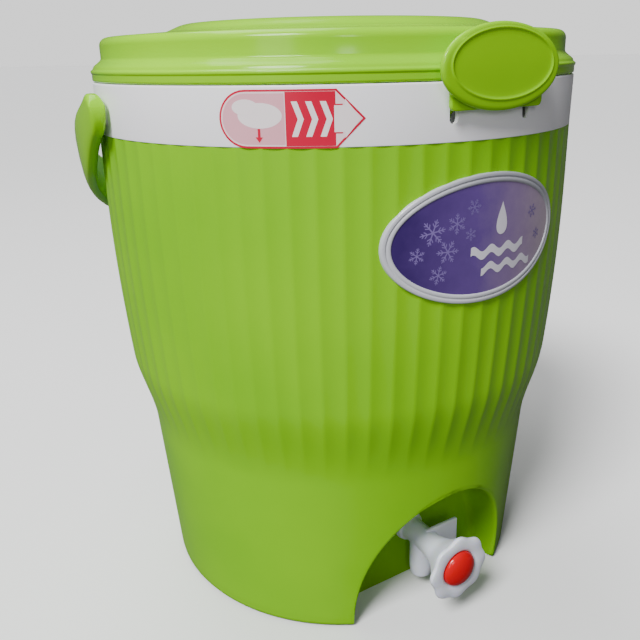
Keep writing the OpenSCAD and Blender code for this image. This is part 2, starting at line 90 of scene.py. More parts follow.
def smooth_step(t):
    t = min(1.0, max(0.0, t))
    return t * t * (3 - 2 * t)


def body_r(z):
    """Outer radius of the body wall, as in the CAD."""
    low = BASE_R + (WAIST_R - BASE_R) * z / WAIST_Z
    high = RIM_R - BOW_R * (max(0.0, BOW_Z - z) / (BOW_Z - SHOULDER_Z)) ** 2
    s = smooth_step((z - WAIST_Z) / (SHOULDER_Z - WAIST_Z))
    return low * (1 - s) + high * s


def band_r(z):
    return RIM_R + (BAND_R - RIM_R) * (z - SHELL_H) / (BAND_TOP - SHELL_H)


# ------------------------------------------------------------------ mesh helpers
def link_object(name, data):
    obj = bpy.data.objects.new(name, data)
    bpy.context.scene.collection.objects.link(obj)
    return obj


def mesh_object(name, verts, faces):
    """Mesh with outward normals and smooth shading."""
    mesh = bpy.data.meshes.new(name)
    mesh.from_pydata([tuple(v) for v in verts], [], [tuple(f) for f in faces])
    mesh.validate()
    mesh.update()
    obj = link_object(name, mesh)
    bm = bmesh.new()
    bm.from_mesh(mesh)
    bmesh.ops.recalc_face_normals(bm, faces=bm.faces)
    bm.to_mesh(mesh)
    bm.free()
    shade(obj)
    return obj


def shade(obj, angle=35):
    """Smooth shading with sharp edges over the given angle."""
    obj.data.polygons.foreach_set("use_smooth", [True] * len(obj.data.polygons))
    obj.data.set_sharp_from_angle(angle=math.radians(angle))
    obj.data.update()


def bend(a, corner, b, t):
    """Point at t on a quadratic curve from a to b that leans towards corner."""
    return a * (1 - t) ** 2 + corner * 2 * t * (1 - t) + b * t * t


def ring_faces(rings, count, closed=False):
    """Quads between rings of count points each; closed joins the last ring to the first."""
    faces = []
    for i in range(rings if closed else rings - 1):
        up = (i + 1) % rings
        for k in range(count):
            j = (k + 1) % count
            faces.append((i * count + k, i * count + j, up * count + j, up * count + k))
    return faces


def end_caps(rings, count):
    """The two flat ends of a run of rings."""
    return [list(range(count)), list(range((rings - 1) * count, rings * count))]


def soften(points, radius, closed=True, n=CORNER_STEPS):
    """Rounds the corners of a flat outline. A point may carry its own radius as a third number."""
    out = []
    count = len(points)
    for i, p in enumerate(points):
        r = p[2] if len(p) > 2 else radius
        here = Vector(p[:2])
        if r <= 0 or (not closed and i in (0, count - 1)):
            out.append(tuple(here))
            continue
        before = Vector(points[i - 1][:2]) - here
        after = Vector(points[(i + 1) % count][:2]) - here
        reach = min(r, before.length * 0.49, after.length * 0.49)
        a = here + before.normalized() * reach
        b = here + after.normalized() * reach
        out += [tuple(bend(a, here, b, k / n)) for k in range(n + 1)]
    return out


def lathe(name, outline, segments=192, closed=True):
    """Turns an outline of (radius, height) round Z. Points on the axis become one vertex."""
    verts, rows = [], []
    for r, z in outline:
        if r < 1e-7:
            rows.append([len(verts)] * segments)
            verts.append((0, 0, z))
        else:
            rows.append(list(range(len(verts), len(verts) + segments)))
            verts += [(r * math.sin(2 * math.pi * k / segments),
                       -r * math.cos(2 * math.pi * k / segments), z) for k in range(segments)]
    faces = []
    for low, high in zip(rows, rows[1:] + rows[:1] if closed else rows[1:]):
        for k in range(segments):
            j = (k + 1) % segments
            face = []
            for v in (low[k], low[j], high[j], high[k]):
                if v not in face:
                    face.append(v)
            if len(face) > 2:
                faces.append(face)
    return mesh_object(name, verts, faces)


def put_on_tap_axis(obj):
    """Turns a shape made round Z so that its Z points outwards along the tap, from the jug's axis."""
    obj.data.transform(Matrix.Translation((0, 0, TAP_Z)) @ Matrix.Rotation(math.pi / 2, 4, "X"))
    return obj


def prism(name, outline, depth0, depth1, bevel=0.0):
    """Solid with an outline in X and Z, from y = -depth0 out to y = -depth1, with bevelled rims."""
    n = len(outline)
    centre = Vector((sum(p[0] for p in outline) / n, sum(p[1] for p in outline) / n))

    def ring(depth, inset):
        out = []
        for p in outline:
            v = Vector(p) - centre
            k = max(0.0, 1 - inset / max(v.length, 1e-6))
            q = centre + v * k
            out.append((q.x, -depth, q.y))
        return out

    if bevel:
        steps = [(depth0, bevel), (depth0 + bevel * 0.3, bevel * 0.3), (depth0 + bevel, 0),
                 (depth1 - bevel, 0), (depth1 - bevel * 0.3, bevel * 0.3), (depth1, bevel)]
    else:
        steps = [(depth0, 0), (depth1, 0)]
    verts = [v for depth, inset in steps for v in ring(depth, inset)]
    return mesh_object(name, verts, ring_faces(len(steps), n) + end_caps(len(steps), n))


def box_shape(name, lo, hi, bevel=0.0):
    """Box between two corners, with rounded edges."""
    verts = [(x, y, z) for x in (lo[0], hi[0]) for y in (lo[1], hi[1]) for z in (lo[2], hi[2])]
    obj = mesh_object(name, verts, [(0, 1, 3, 2), (4, 6, 7, 5), (0, 4, 5, 1),
                                    (2, 3, 7, 6), (0, 2, 6, 4), (1, 5, 7, 3)])
    if bevel:
        apply_bevel(obj, bevel)
    return obj


def apply_modifiers(obj):
    bpy.context.view_layer.update()
    graph = bpy.context.evaluated_depsgraph_get()
    mesh = bpy.data.meshes.new_from_object(obj.evaluated_get(graph))
    obj.modifiers.clear()
    obj.data = mesh
    shade(obj)


def apply_bevel(obj, width, segments=3):
    """Rounds the edges that turn by more than 30 degrees."""
    mod = obj.modifiers.new("bevel", "BEVEL")
    mod.width = width
    mod.segments = segments
    mod.limit_method = "ANGLE"
    mod.angle_limit = math.radians(30)
    apply_modifiers(obj)


def cut_away(obj, cutter):
    """Takes the cutter's shape out of obj."""
    mod = obj.modifiers.new("bool", "BOOLEAN")
    mod.operation = "DIFFERENCE"
    mod.solver = "EXACT"
    mod.object = cutter
    apply_modifiers(obj)
    bpy.data.objects.remove(cutter)


def join(name, parts):
    """Joins shapes into one object."""
    bm = bmesh.new()
    for part in parts:
        bm.from_mesh(part.data)
        bpy.data.objects.remove(part)
    mesh = bpy.data.meshes.new(name)
    bm.to_mesh(mesh)
    bm.free()
    obj = link_object(name, mesh)
    shade(obj)
    return obj


def finish_piece(obj, material, body, slot, *nodes):
    """Gives a piece its material and the body it rides on, and hides the CAD nodes it stands for. Its slot
    is not used.
    """
    obj.data.materials.clear()
    obj.data.materials.append(material)
    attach(obj, body)
    if nodes:
        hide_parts(*nodes)


# ------------------------------------------------------------------ materials
def new_material(name):
    mat = bpy.data.materials.new(name)
    mat.use_nodes = True
    tree = mat.node_tree
    shader = tree.nodes["Principled BSDF"]
    return mat, tree, shader


def node(tree, kind, **values):
    n = tree.nodes.new(kind)
    for key, value in values.items():
        n.inputs[key].default_value = value
    return n


def colour_between(tree, factor, low, high, start=0.0, end=1.0):
    """Base colour that runs from low to high as factor goes from start to end."""
    ramp = tree.nodes.new("ShaderNodeValToRGB")
    first, last = ramp.color_ramp.elements
    first.position, first.color = start, low
    last.position, last.color = end, high
    tree.links.new(factor, ramp.inputs["Fac"])
    tree.links.new(ramp.outputs["Color"], tree.nodes["Principled BSDF"].inputs["Base Color"])


def uneven_gloss(tree, factor, rough):
    """Roughness that varies with factor between the two values of rough."""
    gloss = tree.nodes.new("ShaderNodeMapRange")
    gloss.inputs["To Min"].default_value, gloss.inputs["To Max"].default_value = rough
    tree.links.new(factor, gloss.inputs["Value"])
    tree.links.new(gloss.outputs["Result"], tree.nodes["Principled BSDF"].inputs["Roughness"])


def rgb(r, g, b):
    """sRGB 0-255 to a linear colour."""
    def lin(v):
        v /= 255
        return v / 12.92 if v <= 0.04045 else ((v + 0.055) / 1.055) ** 2.4
    return (lin(r), lin(g), lin(b), 1)


def plastic(name, low, high, rough, peel=0.02, scatter=0.0, spec=0.5):
    """Moulded plastic: two close colours in soft clouds, uneven gloss and a faint orange peel."""
    mat, tree, shader = new_material(name)
    link = tree.links.new
    place = tree.nodes.new("ShaderNodeTexCoord")
    cloud = node(tree, "ShaderNodeTexNoise", Scale=9.0, Detail=3.0, Roughness=0.5)
    link(place.outputs["Object"], cloud.inputs["Vector"])
    colour_between(tree, cloud.outputs["Fac"], low, high, 0.35, 0.65)
    smear = node(tree, "ShaderNodeTexNoise", Scale=38.0, Detail=4.0, Roughness=0.6)
    link(place.outputs["Object"], smear.inputs["Vector"])
    uneven_gloss(tree, smear.outputs["Fac"], rough)
    skin = node(tree, "ShaderNodeTexNoise", Scale=260.0, Detail=2.0, Roughness=0.4)
    link(place.outputs["Object"], skin.inputs["Vector"])
    bump = tree.nodes.new("ShaderNodeBump")
    bump.inputs["Strength"].default_value = peel
    bump.inputs["Distance"].default_value = 1 * MM
    link(skin.outputs["Fac"], bump.inputs["Height"])
    link(bump.outputs["Normal"], shader.inputs["Normal"])
    shader.inputs["Specular IOR Level"].default_value = spec
    if scatter:
        shader.inputs["Subsurface Weight"].default_value = scatter
        shader.inputs["Subsurface Radius"].default_value = (0.6, 1.0, 0.15)
        shader.inputs["Subsurface Scale"].default_value = 0.004
    return mat


def metal(name, low, high):
    """Drawn steel: fine grain along Z, in colour and in gloss."""
    mat, tree, shader = new_material(name)
    link = tree.links.new
    place = tree.nodes.new("ShaderNodeTexCoord")
    squeeze = tree.nodes.new("ShaderNodeMapping")
    squeeze.inputs["Scale"].default_value = (1, 1, 40)
    link(place.outputs["Object"], squeeze.inputs["Vector"])
    grain = node(tree, "ShaderNodeTexNoise", Scale=60.0, Detail=3.0, Roughness=0.6)
    link(squeeze.outputs["Vector"], grain.inputs["Vector"])
    colour_between(tree, grain.outputs["Fac"], low, high)
    uneven_gloss(tree, grain.outputs["Fac"], (0.2, 0.4))
    shader.inputs["Metallic"].default_value = 1.0
    return mat


GREEN = plastic("green_plastic", (0.19, 0.51, 0.0, 1), (0.23, 0.57, 0.0, 1), rough=(0.2, 0.3),
                peel=0.03, scatter=0.06, spec=0.3)
GREEN_LID = plastic("green_lid_plastic", (0.25, 0.60, 0.0, 1), (0.29, 0.66, 0.0, 1), rough=(0.12, 0.2),
                    peel=0.02, scatter=0.06, spec=0.18)
WHITE = plastic("white_plastic", rgb(250, 249, 254), rgb(253, 252, 255), rough=(0.3, 0.42),
                peel=0.02, scatter=0.05)
TAP_WHITE = plastic("tap_plastic", rgb(222, 226, 238), rgb(232, 236, 246), rough=(0.24, 0.36),
                    peel=0.03, scatter=0.2)
RED = plastic("red_plastic", (0.56, 0.0, 0.004, 1), (0.62, 0.001, 0.008, 1), rough=(0.14, 0.22), spec=0.4)
FOAM = plastic("foam", rgb(228, 214, 160), rgb(240, 228, 182), rough=(0.85, 0.95), peel=0.6, spec=0.2)
SILICONE = plastic("silicone", rgb(205, 210, 214), rgb(216, 221, 226), rough=(0.4, 0.5), scatter=0.3)
RUBBER = plastic("seal_rubber", rgb(34, 34, 36), rgb(44, 44, 46), rough=(0.55, 0.7), spec=0.3)
STEEL = metal("pin_steel", rgb(172, 172, 176), rgb(205, 205, 210))
SILVER = plastic("silver_print", rgb(150, 152, 162), rgb(200, 201, 208), rough=(0.22, 0.34), spec=0.8)


def printed(name, stops, scale, offset):
    """Laminated print whose colour runs from left to right, with faint frost in it."""
    mat, tree, shader = new_material(name)
    link = tree.links.new
    place = tree.nodes.new("ShaderNodeTexCoord")
    apart = tree.nodes.new("ShaderNodeSeparateXYZ")
    link(place.outputs["Object"], apart.inputs["Vector"])
    frost = node(tree, "ShaderNodeTexNoise", Scale=70.0, Detail=5.0, Roughness=0.65)
    link(place.outputs["Object"], frost.inputs["Vector"])
    run = tree.nodes.new("ShaderNodeMath")
    run.operation = "MULTIPLY_ADD"
    run.inputs[1].default_value = scale
    run.inputs[2].default_value = offset
    link(apart.outputs["X"], run.inputs[0])
    mix = tree.nodes.new("ShaderNodeMath")
    mix.operation = "MULTIPLY_ADD"
    mix.inputs[1].default_value = 0.22                  # how much the frost shifts the colour
    link(frost.outputs["Fac"], mix.inputs[0])
    link(run.outputs[0], mix.inputs[2])
    ramp = tree.nodes.new("ShaderNodeValToRGB")
    ramp.color_ramp.elements[0].position = stops[0][0]
    ramp.color_ramp.elements[0].color = stops[0][1]
    ramp.color_ramp.elements[1].position = stops[-1][0]
    ramp.color_ramp.elements[1].color = stops[-1][1]
    for at, colour in stops[1:-1]:
        ramp.color_ramp.elements.new(at).color = colour
    link(mix.outputs[0], ramp.inputs["Fac"])
    link(ramp.outputs["Color"], shader.inputs["Base Color"])
    shader.inputs["Roughness"].default_value = 0.22
    return mat


PURPLE = printed("label_purple", [(0.1, rgb(54, 32, 96)), (0.45, rgb(98, 72, 142)),
                                  (0.75, rgb(150, 128, 164)), (1.0, rgb(196, 178, 190))], 9.0, 0.4)
LILAC = plastic("label_lilac", rgb(112, 92, 158), rgb(128, 108, 172), rough=(0.2, 0.26))
PALE = plastic("label_pale", rgb(216, 212, 226), rgb(226, 222, 234), rough=(0.2, 0.26))
STICKER_RED = plastic("sticker_red", (0.58, 0.002, 0.035, 1), (0.64, 0.004, 0.05, 1), rough=(0.2, 0.28))
STICKER_PINK = plastic("sticker_pink", rgb(244, 214, 220), rgb(248, 222, 226), rough=(0.22, 0.3))
STICKER_BLUSH = plastic("sticker_blush", rgb(228, 158, 172), rgb(236, 176, 188), rough=(0.22, 0.3))
STICKER_WHITE = plastic("sticker_white", rgb(244, 232, 234), rgb(248, 238, 240), rough=(0.22, 0.3))


# ------------------------------------------------------------------ the fluted shell
FLUTES = 72
FLUTE_STEPS = 10
COLUMNS = FLUTES * FLUTE_STEPS
FLUTE_DEPTH = 0.65 * MM
FLUTE_END = 101 * MM               # below this the wall is smooth
FLUTE_FULL = 138 * MM              # above this the flutes have their full depth
ALCOVE_W = 54 * MM                 # half its width
ALCOVE_RISE = 70.4 * MM
ALCOVE_SPRING = 10 * MM            # where the arch starts
ALCOVE_BACK = 80 * MM              # from the jug's axis
PATCH_COLUMNS = 66                 # columns each side of the front that the alcove's patch spans
PATCH_TOP = 93 * MM
SHOULDER_TOP = 153 * MM            # rows are close together from the patch up to here
LIP = 4.2 * MM                     # rounding of the alcove's outer edge
FILLET = 6 * MM                    # rounding where its sides meet the back wall
BASE_GAP = 0.6 * MM                # the flat base stands this far above the edge's lowest line


def flute(column, z):
    """How far a flute cuts in, from 0 on a ridge to FLUTE_DEPTH in the hollow."""
    u = (column % FLUTE_STEPS) / FLUTE_STEPS
    hollow = abs(math.sin(math.pi * u))
    return FLUTE_DEPTH * hollow * smooth_step((z - FLUTE_END) / (FLUTE_FULL - FLUTE_END))


def wall_point(theta, s):
    """Point on the smooth outside: s runs up from 0 at the flat base, round its edge and up."""
    arc = CORNER * math.pi / 2
    if s < arc:
        a = s / CORNER
        r = body_r(CORNER) - CORNER * (1 - math.sin(a))
        z = CORNER * (1 - math.cos(a))
    else:
        z = s - arc + CORNER
        r = body_r(z)
    return Vector((r * math.sin(theta), -r * math.cos(theta), z))


def height_to_s(z):
    """The s of wall_point at height z."""
    arc = CORNER * math.pi / 2
    if z < CORNER:
        return CORNER * math.acos(max(-1.0, 1 - z / CORNER))
    return z - CORNER + arc


def make_shell():
    """The body's outside, its fluting, and the alcove as a patch let into the grid."""
    verts, faces = [], []

    def add(p):
        verts.append(tuple(p))
        return len(verts) - 1

    low_z = [CORNER * (1 - math.cos(math.radians(a))) for a in (0, 22.5, 45, 67.5)]
    low_z += [CORNER + (PATCH_TOP - CORNER) * k / 16 for k in range(17)]
    high_z = [PATCH_TOP + (SHOULDER_TOP - PATCH_TOP) * k / 30 for k in range(1, 31)]
    high_z += [SHOULDER_TOP + (SHELL_H - SHOULDER_TOP) * k / 16 for k in range(1, 17)]
    heights = low_z + high_z
    patch_row = len(low_z) - 1
    step = 2 * math.pi / COLUMNS
    grid = {}
    for row, z in enumerate(heights):
        for c in range(COLUMNS):
            side = c if c <= COLUMNS // 2 else c - COLUMNS
            if row < patch_row and abs(side) < PATCH_COLUMNS:
                continue
            p = wall_point(c * step, height_to_s(z))
            keep = 1 - flute(c, z) / math.hypot(p.x, p.y)
            grid[row, c] = add((p.x * keep, p.y * keep, p.z))
    # the rim turns in over the wall's thickness and a little way down inside
    top = len(heights)
    for extra, z in ((0, SHELL_H), (1, SHELL_H - 9 * MM)):
        for c in range(COLUMNS):
            r = RIM_R - WALL
            grid[top + extra, c] = add((r * math.sin(c * step), -r * math.cos(c * step), z))
    for row in range(top + 1):
        for c in range(COLUMNS):
            d = (c + 1) % COLUMNS
            side = c if c < COLUMNS // 2 else c - COLUMNS
            if row < patch_row and -PATCH_COLUMNS <= side < PATCH_COLUMNS:
                continue
            faces.append((grid[row, c], grid[row, d], grid[row + 1, d], grid[row + 1, c]))

    # the patch's border, from the base on the -X side, up, across and down the +X side
    border = [(row, COLUMNS - PATCH_COLUMNS) for row in range(patch_row)]
    border += [(patch_row, c % COLUMNS) for c in range(-PATCH_COLUMNS, PATCH_COLUMNS + 1)]
    border += [(row, PATCH_COLUMNS) for row in range(patch_row - 1, -1, -1)]
    border = [grid[k] for k in border]
    count = len(border)

    # the arch's outline, one point for each border point
    leg = ALCOVE_SPRING
    arc_len = math.pi * (ALCOVE_W + ALCOVE_RISE) / 2 * 1.01
    total = 2 * leg + arc_len
    outline = []
    for k in range(count):
        d = total * k / (count - 1)
        if d < leg:
            outline.append((-ALCOVE_W, d))
        elif d > total - leg:
            outline.append((ALCOVE_W, total - d))
        else:
            a = math.pi * (1 - (d - leg) / arc_len)
            outline.append((ALCOVE_W * math.cos(a), ALCOVE_SPRING + ALCOVE_RISE * math.sin(a)))

    def on_wall(x, z):
        s = height_to_s(z)
        r = math.hypot(*wall_point(0, s).xy)
        return math.asin(max(-1.0, min(1.0, x / r))), s

    edge = [on_wall(x, z) for x, z in outline]
    start = [(math.atan2(x, -y), height_to_s(z)) for x, y, z in (verts[v] for v in border)]

    # rings from the border in to the arch, round its lip, back along its sides and into its back wall
    rings = [border]
    for t in (0.2, 0.4, 0.58, 0.74, 0.87):
        rings.append([add(wall_point(a[0] * (1 - t) + b[0] * t, a[1] * (1 - t) + b[1] * t))
                      for a, b in zip(start, edge)])
    inward = Vector((0, 1, 0))
    edge_points = [wall_point(*e) for e in edge]
    outside = [(Vector(verts[rings[-1][k]]) - edge_points[k]).normalized() for k in range(count)]
    for i in range(7):
        rings.append([add(bend(e + out * LIP, e, e + inward * LIP, i / 6))
                      for e, out in zip(edge_points, outside)])
    for t in (0.25, 0.5, 0.75):
        rings.append([add((e.x, (e.y + LIP) * (1 - t) - (ALCOVE_BACK + FILLET) * t, e.z))
                      for e in edge_points])
    for i in range(7):
        ring = []
        for x, z in outline:
            foot = Vector((x, -ALCOVE_BACK, z))
            towards = Vector((-x, 0, -z * smooth_step((z - ALCOVE_SPRING) / (20 * MM)))).normalized()
            ring.append(add(bend(foot - inward * FILLET, foot, foot + towards * FILLET, i / 6)))
        rings.append(ring)
    last = [Vector(verts[v]) for v in rings[-1]]
    for f in (0.75, 0.5, 0.25):
        rings.append([add((p.x * f, p.y, p.z * f)) for p in last])
    hub = add((0, -ALCOVE_BACK, 0))
    for outer, inner in zip(rings, rings[1:]):
        for k in range(count - 1):
            faces.append((outer[k], outer[k + 1], inner[k + 1], inner[k]))
    for k in range(count - 1):
        faces.append((rings[-1][k], rings[-1][k + 1], hub))

    # the flat base, with the alcove's notch
    base_r, steps = BASE_R - CORNER, 96
    start_a = math.asin(ALCOVE_W / base_r)
    base = []
    for k in range(steps + 1):
        a = start_a + (2 * math.pi - 2 * start_a) * k / steps
        base.append(add((base_r * math.sin(a), -base_r * math.cos(a), BASE_GAP)))
    base.append(add((-ALCOVE_W, -ALCOVE_BACK, BASE_GAP)))
    base.append(add((ALCOVE_W, -ALCOVE_BACK, BASE_GAP)))
    faces.append(base[::-1])

    obj = mesh_object("shell_fluted", verts, faces)
    shade(obj, 40)
    finish_piece(obj, GREEN, "jug", "green_plastic", "outer_shell")


make_shell()


# ------------------------------------------------------------------ band
SLOT_X = 21.8 * MM                 # the two slots that the latch's arms come through
SLOT_W = 4.6 * MM
SLOT_Z = 289.4 * MM                # their lower ends
SLOT_TOP = 303 * MM
ARM_W = SLOT_W - 0.6 * MM
BOSS_W = 3.6 * MM
KNUCKLE_R = 4.2 * MM


def knuckle(x0, x1):
    """Part of the hinge round its pin, from x0 to x1."""
    outline = soften([(0, x0, 0), (KNUCKLE_R, x0), (KNUCKLE_R, x1), (0, x1, 0)], 0.5 * MM)
    obj = lathe("knuckle", outline, 48, closed=False)
    obj.data.transform(Matrix.Translation((0, HINGE_Y, HINGE_Z)) @ Matrix.Rotation(math.pi / 2, 4, "Y"))
    return obj


def web_shape(outline, x0, x1):
    """Solid with an outline in Y and Z between two X."""
    n = len(outline)
    verts = [(x, y, z) for x in (x0, x1) for y, z in outline]
    obj = mesh_object("web", verts, ring_faces(2, n) + end_caps(2, n))
    apply_bevel(obj, 0.4 * MM, 2)
    return obj


def make_band():
    outline = soften([
        (RIM_R, SHELL_H, 0.4 * MM), (BAND_R, BAND_TOP, 1.0 * MM), (MOUTH_R, BAND_TOP, 1.0 * MM),
        (MOUTH_R, BAND_TOP - 3.5 * MM, 0.4 * MM),
        (BAND_R - 3.4 * MM, BAND_TOP - 3.5 * MM, 0.4 * MM),
        (RIM_R - 2.7 * MM, SHELL_H + 4.6 * MM, 0.4 * MM),
        (RIM_R - 5.8 * MM, SHELL_H + 2.6 * MM, 0.2 * MM),
        (RIM_R - 5.8 * MM, SHELL_H - 6 * MM, 0.2 * MM),
        (RIM_R - 3.2 * MM, SHELL_H - 6 * MM, 0.2 * MM),
        (RIM_R - 3.2 * MM, SHELL_H, 0)], 0.3 * MM)
    band = lathe("band_ring", outline, 288)
    for side in (-1, 1):
        x0, half = side * SLOT_X, SLOT_W / 2
        slot = [(x0 + half * math.cos(math.radians(a)), SLOT_Z + half + half * math.sin(math.radians(a)))
                for a in range(180, 361, 15)]
        slot += [(x0 + half, SLOT_TOP), (x0 - half, SLOT_TOP)]
        cut_away(band, prism("cutter", slot, LATCH_Y + 1.6 * MM, 150 * MM))
        # the wall is thin round each slot, with a dark hollow behind it
        half += 1 * MM
        low, high = SLOT_Z - 1.6 * MM, SLOT_TOP - 1 * MM
        hollow = [(x0 - half, low), (x0 + half, low), (x0 + half, high), (x0 - half, high)]
        cut_away(band, prism("cutter", hollow, LATCH_Y + 1.4 * MM, 134.9 * MM))
    parts = [band]
    for x0, x1 in ((-26 * MM, -14.1 * MM), (14.1 * MM, 26 * MM)):
        web = [(BAND_R - 3 * MM, 295 * MM), (BAND_R + 0.6 * MM, 295 * MM),
               (HINGE_Y + 3.9 * MM, 309.4 * MM), (HINGE_Y, HINGE_Z), (HINGE_Y - 3.5 * MM, 309 * MM),
               (BAND_R + 0.8 * MM, 307.4 * MM), (BAND_R - 3 * MM, 307.4 * MM)]
        parts += [knuckle(x0, x1), web_shape(web, x0, x1)]
    for side in (-1, 1):
        for x in (SLOT_X - SLOT_W / 2 - BOSS_W, SLOT_X + SLOT_W / 2):
            lo_x = x if side > 0 else -x - BOSS_W
            parts.append(box_shape("boss", (lo_x, -LATCH_Y - 2.4 * MM, LATCH_Z - 4 * MM),
                                   (lo_x + BOSS_W, -LATCH_Y + 3.5 * MM, LATCH_Z + 4 * MM), 0.5 * MM))
    finish_piece(join("band_collar", parts), WHITE, "jug", "white_plastic", "top_band")


make_band()


# ------------------------------------------------------------------ lid
LID_Z = 308 * MM                   # lower edge of the lid's skirt
FLANGE_Z = 314 * MM                # top of its bead, where the wall above starts


def lid_profile(t):
    """Outside of the lid above its flange, set in by t."""
    wall, corner, tier = 133.3 * MM, 4.4 * MM, 330.6 * MM
    ramp_r, crown_r, rise = 101.6 * MM, 85 * MM, 1.9 * MM
    foot, edge = BAND_R - 0.9 * MM, lid_hi.z - 0.5 * MM
    pts = [(foot - t - (foot - wall) * smooth_step(k / 8), FLANGE_Z + 0.7 * MM + 5.3 * MM * k / 8)
           for k in range(9)]
    pts += [(wall - corner + (corner - t) * math.cos(math.radians(a)),
             tier - corner + (corner - t) * math.sin(math.radians(a))) for a in range(0, 91, 10)]
    pts += [(ramp_r - (ramp_r - crown_r) * k / 12,
             tier + rise + (edge - tier - rise) * smooth_step(k / 12) - t) for k in range(13)]
    pts += [(crown_r * f, lid_hi.z - 0.5 * MM * f * f - t) for f in (0.85, 0.7, 0.55, 0.4, 0.25, 0.12, 0)]
    return pts


def make_lid():
    skirt = soften(
        [(BAND_R - 2.5 * MM, LID_Z, 0), (BAND_R - 0.8 * MM, LID_Z, 0.4 * MM),
         (BAND_R, LID_Z + 0.8 * MM, 0.5 * MM), (BAND_R - 0.1 * MM, FLANGE_Z - 2.2 * MM, 0.3 * MM),
         (BAND_R + 0.45 * MM, FLANGE_Z - 1.5 * MM, 0.4 * MM),
         (BAND_R + 0.45 * MM, FLANGE_Z - 0.4 * MM, 0.5 * MM),
         (BAND_R - 0.7 * MM, FLANGE_Z + 0.3 * MM, 0.3 * MM)],
        0.4 * MM, closed=False)
    inside = [p for p in lid_profile(2.5 * MM) if p[1] > FLANGE_Z + 1 * MM]
    outline = skirt + lid_profile(0) + inside[::-1] + [(BAND_R - 2.5 * MM, FLANGE_Z - 0.6 * MM)]
    lid = lathe("lid_cover", outline, 288)
    # the pocket that the latch's hook catches in
    cut_away(lid, box_shape("pocket", (-19 * MM, -150 * MM, FLANGE_Z),
                            (19 * MM, -134 * MM, FLANGE_Z + 5.8 * MM)))
    pocket_wall = box_shape("pocket_wall", (-20.5 * MM, -134.2 * MM, FLANGE_Z - 2 * MM),
                            (20.5 * MM, -130.6 * MM, FLANGE_Z + 7 * MM), 0.3 * MM)
    x1 = 13.8 * MM
    web = box_shape("web", (-x1, BAND_R - 1.8 * MM, LID_Z + 0.4 * MM), (x1, HINGE_Y, FLANGE_Z), 0.4 * MM)
    lid = join("lid_cover", [lid, pocket_wall, knuckle(-x1, x1), web])
    finish_piece(lid, GREEN_LID, "lid", "green_plastic", "lid_shell")


make_lid()


# ------------------------------------------------------------------ handle
def make_handle():
    """The bail: a flat strap bowed round the back, thinner there, with a round eye at each pivot."""
    span, reach = 140.6 * MM, 167 * MM             # inside of the strap, across and to the back
    side_t, back_t = 8 * MM, 5.5 * MM              # its thickness at the sides and at the back
    width = 34 * MM
    eye = 11.4 * MM
    widen = 45 * MM                                # distance over which it widens from the eye
    droop = math.radians(27)
    power = 2 / 2.3                                # squareness of the bow

    def path(t, a, b):
        """Point on the bail's line in its own plane; t runs 0 to pi from +X round the back."""
        c, s = math.cos(t), math.sin(t)
        return Vector((a * math.copysign(abs(c) ** power, c), b * abs(s) ** power))

    turns = [math.pi * (0.5 - 0.5 * math.cos(math.pi * k / 128)) for k in range(129)]
    inner = [path(t, span, reach) for t in turns]
    outer = [path(t, span + side_t, reach + back_t) for t in turns]
    for line in (inner, outer):
        line[0].y = line[-1].y = 0
    # the eye's rounded end, in front of the pivots
    lead = [Vector((0, -eye * f)) for f in (1.0, 0.995, 0.97, 0.92, 0.84, 0.7, 0.5, 0.25)]
    inner = [inner[0] + v for v in lead] + inner + [inner[-1] + v for v in lead[::-1]]
    outer = [outer[0] + v for v in lead] + outer + [outer[-1] + v for v in lead[::-1]]

    def half_width(s):
        """Half the strap's width at distance s behind the pivots."""
        if s < 0:
            return math.sqrt(max(0.0, eye * eye - s * s))
        k = smooth_step(s / widen)
        return eye * (1 - k) + width / 2 * k

    # the strap's section: u across its thickness, v across its width
    section = []
    for k in range(24):
        a = 2 * math.pi * k / 24
        c, s = math.cos(a), math.sin(a)
        section.append((math.copysign(abs(c) ** 0.55, c), math.copysign(abs(s) ** 0.5, s)))
    verts = []
    turn = Matrix.Translation((0, 0, PIVOT_Z)) @ Matrix.Rotation(-droop, 4, "X")
    for a, b in zip(inner, outer):
        mid = (a + b) / 2
        out = (b - a) / 2
        w = max(half_width((a.y + b.y) / 2), 0.4 * MM)
        for u, v in section:
            crown = 1 - 0.16 * v * v if u > 0 else 1.0
            verts.append(turn @ Vector((mid.x + out.x * u * crown, mid.y + out.y * u * crown, w * v)))
    rings, n = len(inner), len(section)
    obj = mesh_object("bail_handle", verts, ring_faces(rings, n) + end_caps(rings, n))
    shade(obj, 60)
    finish_piece(obj, GREEN_LID, "handle", "green_plastic", "handle")


make_handle()


# ------------------------------------------------------------------ latch
def oval_dome(name, a, b, profile, y0, z0, lift):
    """Oval disc in X and Z. profile lists (inset from the rim, distance in front of y0).

    The rings inside the ridge are lift higher and taller than the rim's oval."""
    segments = 144
    verts = []
    for inset, out in profile:
        k_lift = lift * smooth_step((inset - 1.5 * MM) / (2.5 * MM))
        for k in range(segments):
            t = 2 * math.pi * k / segments
            verts.append(((a - inset) * math.cos(t), y0 - out,
                          z0 + k_lift + (b - inset + k_lift) * math.sin(t)))
    faces = ring_faces(len(profile), segments) + [list(range(segments))]
    hub = len(verts)
    verts.append((0, y0 - profile[-1][1] - 0.2 * MM, z0 + lift))
    last = (len(profile) - 1) * segments
    faces += [(last + k, last + (k + 1) % segments, hub) for k in range(segments)]
    return mesh_object(name, verts, faces)


